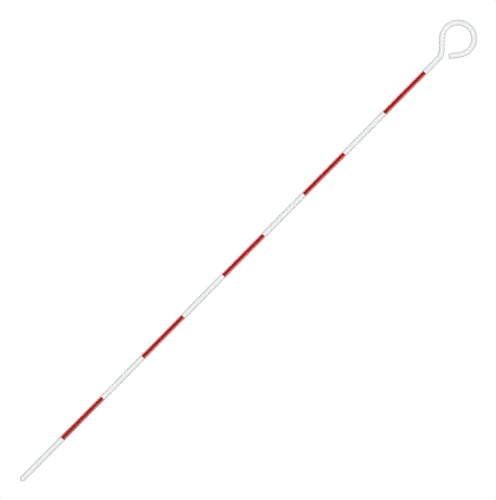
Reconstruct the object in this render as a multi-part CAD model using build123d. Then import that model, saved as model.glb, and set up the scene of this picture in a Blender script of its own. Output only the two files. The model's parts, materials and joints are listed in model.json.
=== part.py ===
from build123d import *

import os
from math import cos, radians, sin, sqrt, tan

# Pin pole: a round steel bar with a blunt point and a bent open eye, enamelled in white and red bands.
# The origin is the middle of the nose, +Z runs up the pole, and the eye lies in the XZ plane.
# Lengths are in millimetres and angles in degrees.

# Bar and enamel
BAR_DIAMETER = 10.0   # bare steel
COAT = 0.1            # enamel on the steel
COAT_EASE = 0.04      # rounding of the enamel's edge at each border

# Bands, counted from the end of the point
BAND_LENGTH = 100.0
BAND_PAIRS = 5        # each pair is a white band, then a red one

# Point and cut end
NOSE_DIAMETER = 2.6   # flat left at the end of the 90 degree point
NOSE_ROUND = 0.8      # rounding between the nose and the point's cone
END_ROUND = 1.5       # rounding of the cut end's rim

# Neck and eye
NECK_RISE = 42.5      # from the last border up to where the shank's and the neck's centrelines cross
NECK_ANGLE = 43.5     # between the shank and the neck
NECK_BEND = 25.0      # radius of the neck's bend, on the centreline
EYE_INSIDE = 46.0     # clear width of the eye
EYE_SWEEP = 260.0     # turn of the bar round the eye
EYE_MOUTH = 7.5       # gap from the neck's side to the middle of the cut end

# Sizes that follow
SKIN_DIAMETER = BAR_DIAMETER + 2 * COAT
STEEL_POINT = (BAR_DIAMETER - NOSE_DIAMETER) / 2   # length of the bare point's 45 degree cone
CONE_GAIN = 2 - sqrt(2)                            # by which each millimetre of even coat lengthens that cone
BAND_START = STEEL_POINT + CONE_GAIN * COAT
BORDERS = [BAND_START + count * BAND_LENGTH for count in range(1, 2 * BAND_PAIRS + 1)]
TOP_BORDER = BORDERS[-1]
EYE_RADIUS = (EYE_INSIDE + SKIN_DIAMETER) / 2
EYE_CENTRE = TOP_BORDER + NECK_RISE + EYE_RADIUS / sin(radians(NECK_ANGLE))
EYE_OUTSIDE = EYE_INSIDE + 2 * SKIN_DIAMETER


def free_end_length():
    """Straight length from the end of the eye's arc to the enamelled cut end, which leaves the mouth open."""
    end_angle = radians(180.0 - EYE_SWEEP)
    across = EYE_RADIUS * (1 + cos(end_angle)) - SKIN_DIAMETER / 2 - EYE_MOUTH
    return across / -sin(end_angle)


def centreline(trim):
    """Line down the middle of the bar from the nose to the cut end, cut short by trim at both ends."""
    setback = NECK_BEND * tan(radians(NECK_ANGLE / 2))
    neck_length = EYE_RADIUS / tan(radians(NECK_ANGLE)) - setback
    shank = Line((0, trim), (0, TOP_BORDER + NECK_RISE - setback))
    bend = JernArc(shank @ 1, shank % 1, NECK_BEND, NECK_ANGLE)
    neck = Line(bend @ 1, bend @ 1 + (bend % 1) * neck_length)
    eye = JernArc(neck @ 1, neck % 1, EYE_RADIUS, -EYE_SWEEP)
    free_end = Line(eye @ 1, eye @ 1 + (eye % 1) * (free_end_length() - trim))
    return Plane.XZ * Wire([shank, bend, neck, eye, free_end])


def bent_bar(inset):
    """The whole pole as one round bar, with its surface set in by inset from the enamel's outside."""
    path = centreline(inset)
    nose_plane = Plane(origin=path @ 0, z_dir=path % 0)
    bar = sweep(nose_plane * Circle(SKIN_DIAMETER / 2 - inset), path=path)

    growth = COAT - inset
    bar = fillet(rim(bar, path @ 1), END_ROUND + growth)
    bar = chamfer(rim(bar, path @ 0), STEEL_POINT + CONE_GAIN * growth)
    return fillet(rim(bar, path @ 0), NOSE_ROUND + growth)


def rim(bar, centre):
    """The edge round the flat face in the middle of which centre lies."""
    flats = bar.faces().filter_by(GeomType.PLANE)
    return flats.sort_by_distance(centre)[0].edges()


def coat_length(skin, steel, low, high):
    """The enamel between two heights, with its outer edge eased at each border that it has."""
    slab = Box(2 * EYE_OUTSIDE, 2 * EYE_OUTSIDE, high - low, align=(Align.CENTER, Align.CENTER, Align.MIN))
    coat = (skin & Pos(0, 0, low) * slab) - steel
    for height in (low, high):
        if height in BORDERS:
            rings = coat.edges().filter_by(GeomType.CIRCLE)
            border_rings = rings.filter_by_position(Axis.Z, height - COAT_EASE, height + COAT_EASE)
            coat = fillet(border_rings.sort_by(SortBy.RADIUS)[-1], COAT_EASE)
    return coat


def build_parts():
    """Every piece of the pole by its name."""
    steel = bent_bar(COAT)
    skin = bent_bar(0.0)
    bands = [f"{colour}_band_{pair + 1}" for pair in range(BAND_PAIRS) for colour in ("white", "red")]
    heights = [0.0, *BORDERS, EYE_CENTRE + EYE_OUTSIDE]

    # The first band closes over the point, and the enamel of the neck and the eye follows the last one
    parts = {"steel_bar": steel}
    for name, low, high in zip([*bands, "white_eye_coat"], heights, heights[1:]):
        parts[name] = coat_length(skin, steel, low, high)
    return parts


os.makedirs("parts", exist_ok=True)
for name, piece in build_parts().items():
    export_step(piece, f"parts/{name}.step")
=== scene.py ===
import json
from math import cos, pi, radians, sin

import bmesh
import bpy
from mathutils import Matrix, Vector

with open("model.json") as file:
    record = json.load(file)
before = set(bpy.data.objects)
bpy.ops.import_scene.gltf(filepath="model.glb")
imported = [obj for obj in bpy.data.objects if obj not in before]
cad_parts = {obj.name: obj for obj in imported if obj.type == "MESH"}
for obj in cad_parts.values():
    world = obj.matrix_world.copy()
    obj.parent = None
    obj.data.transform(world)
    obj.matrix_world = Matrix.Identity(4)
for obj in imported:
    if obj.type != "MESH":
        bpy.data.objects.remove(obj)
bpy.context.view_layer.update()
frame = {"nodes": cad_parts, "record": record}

# Photograph: the pole's place in it, in pixels from its upper left corner
IMAGE_SIZE = (496, 500)
TIP_PIXEL = (20.73, 480.64)
PIXELS_PER_METRE = 572.0
POLE_RISE = 45.30                 # slope of the pole, up to the right, in degrees

# Camera, in millimetres
LENS = 200.0
SENSOR = 36.0

# Colours, linear, each from its darker to its lighter shade
WHITE_SHADES = ((0.765, 0.785, 0.785), (0.845, 0.865, 0.865))
RED_SHADES = ((0.29, 0.001, 0.003), (0.38, 0.003, 0.005))
STEEL_SHADES = ((0.36, 0.37, 0.38), (0.56, 0.57, 0.58))

# Gloss: roughness from untouched to rubbed
WHITE_ROUGHNESS = (0.84, 0.96)    # the white is duller than the red
RED_ROUGHNESS = (0.22, 0.29)
STEEL_ROUGHNESS = (0.30, 0.48)

# Patterns of the finish: grain size and depth, in metres
TONE_SIZE = 0.06                       # slow change of shade along the pole
MOTTLE_SIZE = 0.0035                   # fine unevenness of the colour
PEEL_SIZE = 0.0011                     # orange peel of the sprayed coat
PEEL_DEPTH = 0.00003
STREAK_SIZE = (0.0004, 0.0004, 0.03)   # fine rub marks along the pole
STREAK_DEPTH = 0.000004

# Noise that makes the patterns
NOISE_RANGE = (0.35, 0.65)        # values between which most of it lies
MOTTLE_SHARE = 0.75               # the mottle's part in the uneven shade; the tone makes the rest
SOFT_LAYERS = 2.0                 # finer layers on top of the first one, in the tone and the orange peel
STREAK_LAYERS = 3.0               # the same in the rub marks
FINE_LAYERS = 4.0                 # the same in the mottle and the chips

# Chips at the point: lengths in metres, and values of the chips' pattern
WEAR_HEIGHT = 0.006               # height up to which the enamel can be chipped
CHIP_SIZE = 0.0009
CHIP_BIAS = 0.30                  # added to the pattern at the nose itself
CHIP_EDGE = (0.80, 0.84)          # values between which the enamel gives way to steel

# Stage and even light, in metres and linear colours
WHITE = (1.0, 1.0, 1.0)             # surroundings and everything that glows
FLOOR_RADIUS = 1.2
FLOOR_SEGMENTS = 96
FLOOR_GREY = (0.45, 0.45, 0.45)     # takes the pole's shadow
FLOOR_GLOW = 0.78                   # brings the lit floor up to white
FLOOR_BOUNCE = (0.05, 0.05, 0.05)   # shade of the floor for the light that it sends back up to the pole
AMBIENT = (0.079, 0.080, 0.081)     # low light from all sides

# Distant lamps, in degrees; a level of 1 shows a colour as it is written
LAMPS = {
    "front_light": {"azimuth": 0.0, "elevation": -6.0, "width": 20.0, "level": 1.03},
    "right_back_light": {"azimuth": 147.0, "elevation": 20.0, "width": 40.0, "level": 0.62},
    "left_back_light": {"azimuth": -147.0, "elevation": 20.0, "width": 40.0, "level": 0.62},
}

# Tall cards round the pole, bright or dark, which are only mirrored in the gloss, in metres and degrees
CARD_DISTANCE = 3.0
CARD_HEIGHT = 6.0
CARD_MIDDLE = 0.5                 # height of a card's middle above the floor
CARDS = {
    "left_card": {"azimuth": -103.0, "width": 3.7, "brightness": 7.8},
    "right_card": {"azimuth": 95.0, "width": 6.0, "brightness": 6.2},
    "dark_card": {"azimuth": -22.0, "width": 4.3, "brightness": 0.1},
}


def add_node(tree, kind, inputs=None, **settings):
    """A shader node with its settings, and with each input set to a value or linked from a socket."""
    node = tree.nodes.new(kind)
    for name, value in settings.items():
        setattr(node, name, value)
    for name, value in (inputs or {}).items():
        if isinstance(value, bpy.types.NodeSocket):
            tree.links.new(value, node.inputs[name])
        else:
            node.inputs[name].default_value = value
    return node


def add_math(tree, operation, first, second):
    """The result of one operation on two values or sockets."""
    node = add_node(tree, "ShaderNodeMath", {0: first, 1: second}, operation=operation)
    return node.outputs["Value"]


def add_noise(tree, place, size, layers):
    """Soft noise of about the given grain size, from 0 to 1."""
    inputs = {"Vector": place, "Scale": 1 / size, "Detail": layers}
    return add_node(tree, "ShaderNodeTexNoise", inputs).outputs["Fac"]


def add_range(tree, value, source, target):
    """Value carried from its source range over to the target range, and held at the target's ends."""
    inputs = {"Value": value}
    inputs["From Min"], inputs["From Max"] = source
    inputs["To Min"], inputs["To Max"] = target
    return add_node(tree, "ShaderNodeMapRange", inputs).outputs["Result"]


def add_shades(tree, factor, shades):
    """Colour that runs from the first shade to the second as the factor goes from 0 to 1."""
    ramp = add_node(tree, "ShaderNodeValToRGB", {"Fac": factor})
    for stop, shade in zip(ramp.color_ramp.elements, shades):
        stop.color = (*shade, 1.0)
    return ramp.outputs["Color"]


def add_mix(tree, factor, first, second):
    """Colour that goes from the first socket's to the second's as the factor goes from 0 to 1."""
    node = add_node(tree, "ShaderNodeMix", data_type="RGBA")
    sources = {"Factor_Float": factor, "A_Color": first, "B_Color": second}
    for socket in node.inputs:
        if socket.identifier in sources:
            tree.links.new(sources[socket.identifier], socket)
    return next(socket for socket in node.outputs if socket.identifier == "Result_Color")


def add_bump(tree, height, depth, normal=None):
    """Unevenness of the given depth, on top of another one where that is given."""
    inputs = {"Height": height, "Distance": depth, "Strength": 1.0}
    if normal is not None:
        inputs["Normal"] = normal
    return add_node(tree, "ShaderNodeBump", inputs).outputs["Normal"]


def new_material(name):
    """A new material, its node tree and its principled shader's inputs."""
    material = bpy.data.materials.new(name)
    material.use_nodes = True
    return material, material.node_tree, material.node_tree.nodes["Principled BSDF"].inputs


def object_place(tree):
    """Coordinates in metres in the pole's own frame."""
    return add_node(tree, "ShaderNodeTexCoord").outputs["Object"]


def streaks(tree, place):
    """Fine marks drawn out along the pole."""
    stretch = [1 / size for size in STREAK_SIZE]
    drawn_out = add_node(tree, "ShaderNodeVectorMath", {0: place, 1: stretch}, operation="MULTIPLY")
    return add_noise(tree, drawn_out.outputs["Vector"], size=1.0, layers=STREAK_LAYERS)


def worn_point(tree, place):
    """Mask of the small chips at the point, where the steel shows."""
    height = add_node(tree, "ShaderNodeSeparateXYZ", {0: place}).outputs["Z"]
    closeness = add_range(tree, height, (0.0, WEAR_HEIGHT), (CHIP_BIAS, 0.0))
    chips = add_math(tree, "ADD", add_noise(tree, place, CHIP_SIZE, FINE_LAYERS), closeness)
    return add_range(tree, chips, CHIP_EDGE, (0.0, 1.0))


def enamel(name, shades, roughness):
    """Sprayed enamel: uneven shade, orange peel, rub marks along the pole and small chips at the point."""
    material, tree, shader = new_material(name)
    place = object_place(tree)
    tone = add_noise(tree, place, TONE_SIZE, SOFT_LAYERS)
    mottle = add_noise(tree, place, MOTTLE_SIZE, FINE_LAYERS)
    rubbed = streaks(tree, place)
    bare = worn_point(tree, place)

    slow_part = add_range(tree, tone, NOISE_RANGE, (0.0, 1.0 - MOTTLE_SHARE))
    fine_part = add_range(tree, mottle, NOISE_RANGE, (0.0, MOTTLE_SHARE))
    paint = add_shades(tree, add_math(tree, "ADD", slow_part, fine_part), shades)
    steel = add_shades(tree, mottle, STEEL_SHADES)
    tree.links.new(add_mix(tree, bare, paint, steel), shader["Base Color"])
    tree.links.new(bare, shader["Metallic"])

    tree.links.new(add_range(tree, rubbed, NOISE_RANGE, roughness), shader["Roughness"])
    peel = add_bump(tree, add_noise(tree, place, PEEL_SIZE, SOFT_LAYERS), PEEL_DEPTH)
    tree.links.new(add_bump(tree, rubbed, STREAK_DEPTH, peel), shader["Normal"])
    return material


def drawn_steel(name):
    """Bare drawn bar under the enamel, with fine marks along its length."""
    material, tree, shader = new_material(name)
    drawn = streaks(tree, object_place(tree))
    tree.links.new(add_shades(tree, drawn, STEEL_SHADES), shader["Base Color"])
    tree.links.new(add_range(tree, drawn, NOISE_RANGE, STEEL_ROUGHNESS), shader["Roughness"])
    tree.links.new(add_bump(tree, drawn, STREAK_DEPTH), shader["Normal"])
    shader["Metallic"].default_value = 1.0
    return material


def dress_pole():
    """Gives every node the material of its slot."""
    finishes = {
        "steel": drawn_steel("drawn_steel"),
        "white_enamel": enamel("white_enamel", WHITE_SHADES, WHITE_ROUGHNESS),
        "red_enamel": enamel("red_enamel", RED_SHADES, RED_ROUGHNESS),
    }
    for subpart in frame["record"]["subparts"]:
        mesh = frame["nodes"][subpart["node"]].data
        mesh.materials.clear()
        mesh.materials.append(finishes[subpart["material_slot"]])


def bare_tree(owner, output_kind):
    """The node tree of a material or world, emptied but for an output, and that output's surface input."""
    owner.use_nodes = True
    tree = owner.node_tree
    tree.nodes.clear()
    return tree, add_node(tree, output_kind).inputs["Surface"]


def seen_directly(tree):
    """1 for what the camera sees, straight or in a reflection, and 0 for light on its way to a surface."""
    path = add_node(tree, "ShaderNodeLightPath").outputs
    mirrored = add_math(tree, "MAXIMUM", path["Is Glossy Ray"], path["Is Transmission Ray"])
    return add_math(tree, "MAXIMUM", path["Is Camera Ray"], mirrored)


def link_mix(tree, factor, first, second, output):
    """Sends a mix of two shaders to an output."""
    mix = add_node(tree, "ShaderNodeMixShader", {0: factor, 1: first, 2: second})
    tree.links.new(mix.outputs["Shader"], output)


def add_world():
    """Plain white surroundings, and a low even light from all sides."""
    world = bpy.data.worlds.new("studio")
    bpy.context.scene.world = world
    tree, output = bare_tree(world, "ShaderNodeOutputWorld")
    light = add_node(tree, "ShaderNodeBackground", {"Color": (*AMBIENT, 1.0)})
    white = add_node(tree, "ShaderNodeBackground", {"Color": (*WHITE, 1.0)})
    link_mix(tree, seen_directly(tree), light.outputs["Background"], white.outputs["Background"], output)


def floor_material():
    """White floor that shows the pole's shadow and sends only a little light back up."""
    material = bpy.data.materials.new("floor")
    tree, output = bare_tree(material, "ShaderNodeOutputMaterial")
    dim = add_node(tree, "ShaderNodeBsdfDiffuse", {"Color": (*FLOOR_BOUNCE, 1.0)})
    grey = add_node(tree, "ShaderNodeBsdfDiffuse", {"Color": (*FLOOR_GREY, 1.0)})
    glow = add_node(tree, "ShaderNodeEmission", {"Color": (*WHITE, 1.0), "Strength": FLOOR_GLOW})
    white = add_node(tree, "ShaderNodeAddShader", {0: grey.outputs["BSDF"], 1: glow.outputs["Emission"]})
    link_mix(tree, seen_directly(tree), dim.outputs["BSDF"], white.outputs["Shader"], output)
    return material


def add_stage_piece(name, mesh, material):
    """A mesh that belongs to the studio and not to the pole."""
    mesh.materials.append(material)
    piece = bpy.data.objects.new(name, mesh)
    bpy.context.scene.collection.objects.link(piece)
    return piece


def add_floor():
    """Round floor under the nose, which holds no light back from the pole."""
    mesh = bpy.data.meshes.new("floor")
    disc = bmesh.new()
    bmesh.ops.create_circle(disc, cap_ends=True, segments=FLOOR_SEGMENTS, radius=FLOOR_RADIUS)
    disc.to_mesh(mesh)
    disc.free()
    floor = add_stage_piece("floor", mesh, floor_material())
    floor.visible_shadow = False


def direction(azimuth, elevation):
    """Way from the pole to a lamp or a card. Azimuth 0 is the camera's side, -Y, and 90 is +X."""
    turn, tilt = radians(azimuth), radians(elevation)
    return Vector((sin(turn) * cos(tilt), -cos(turn) * cos(tilt), sin(tilt)))


def add_lamp(name, azimuth, elevation, width, level):
    """Soft distant lamp that lights the paint but isn't mirrored in it."""
    lamp = bpy.data.lights.new(name, "SUN")
    lamp.energy = pi * level
    lamp.angle = radians(width)
    piece = bpy.data.objects.new(name, lamp)
    piece.rotation_euler = direction(azimuth, elevation).to_track_quat("Z", "Y").to_euler()
    piece.visible_glossy = False
    bpy.context.scene.collection.objects.link(piece)


def add_lamps():
    """A lamp in front, and two weaker ones behind, one on each side."""
    for name, lamp in LAMPS.items():
        add_lamp(name, **lamp)


def card_material(name, brightness):
    """Even glow, which lights nothing by itself."""
    material = bpy.data.materials.new(name)
    material.cycles.emission_sampling = "NONE"
    tree, output = bare_tree(material, "ShaderNodeOutputMaterial")
    glow = add_node(tree, "ShaderNodeEmission", {"Color": (*WHITE, 1.0), "Strength": brightness})
    tree.links.new(glow.outputs["Emission"], output)
    return material


def add_card(name, azimuth, width, brightness):
    """Upright card that faces the pole, is mirrored in its gloss and does nothing else."""
    way = direction(azimuth, elevation=0.0)
    middle = way * CARD_DISTANCE + Vector((0.0, 0.0, CARD_MIDDLE))
    side = Vector((-way.y, way.x, 0.0)) * width / 2
    rise = Vector((0.0, 0.0, CARD_HEIGHT / 2))
    corners = [middle - side - rise, middle + side - rise, middle + side + rise, middle - side + rise]
    mesh = bpy.data.meshes.new(name)
    mesh.from_pydata(corners, [], [range(len(corners))])
    card = add_stage_piece(name, mesh, card_material(name, brightness))
    card.visible_camera = False
    card.visible_diffuse = False
    card.visible_shadow = False


def add_cards():
    """The studio's bright sides, and its dark place beside the camera."""
    for name, card in CARDS.items():
        add_card(name, **card)


def add_camera():
    """Camera square to the eye's plane, rolled so that the pole rises to the right as in the photograph."""
    rise = radians(POLE_RISE)
    right = Vector((sin(rise), 0.0, cos(rise)))
    up = Vector((-cos(rise), 0.0, sin(rise)))
    back = Vector((0.0, -1.0, 0.0))
    right_of_tip = IMAGE_SIZE[0] / 2 - TIP_PIXEL[0]
    above_tip = TIP_PIXEL[1] - IMAGE_SIZE[1] / 2
    middle = (right * right_of_tip + up * above_tip) / PIXELS_PER_METRE
    distance = LENS / SENSOR * max(IMAGE_SIZE) / PIXELS_PER_METRE
    roll = Matrix((right, up, back)).transposed().to_4x4()

    data = bpy.data.cameras.new("camera")
    data.lens = LENS
    data.sensor_width = SENSOR
    camera = bpy.data.objects.new("camera", data)
    camera.matrix_world = Matrix.Translation(middle + back * distance) @ roll
    bpy.context.scene.collection.objects.link(camera)
    bpy.context.scene.camera = camera


dress_pole()
add_world()
add_floor()
add_lamps()
add_cards()
add_camera()
bpy.context.scene.view_settings.view_transform = "Standard"
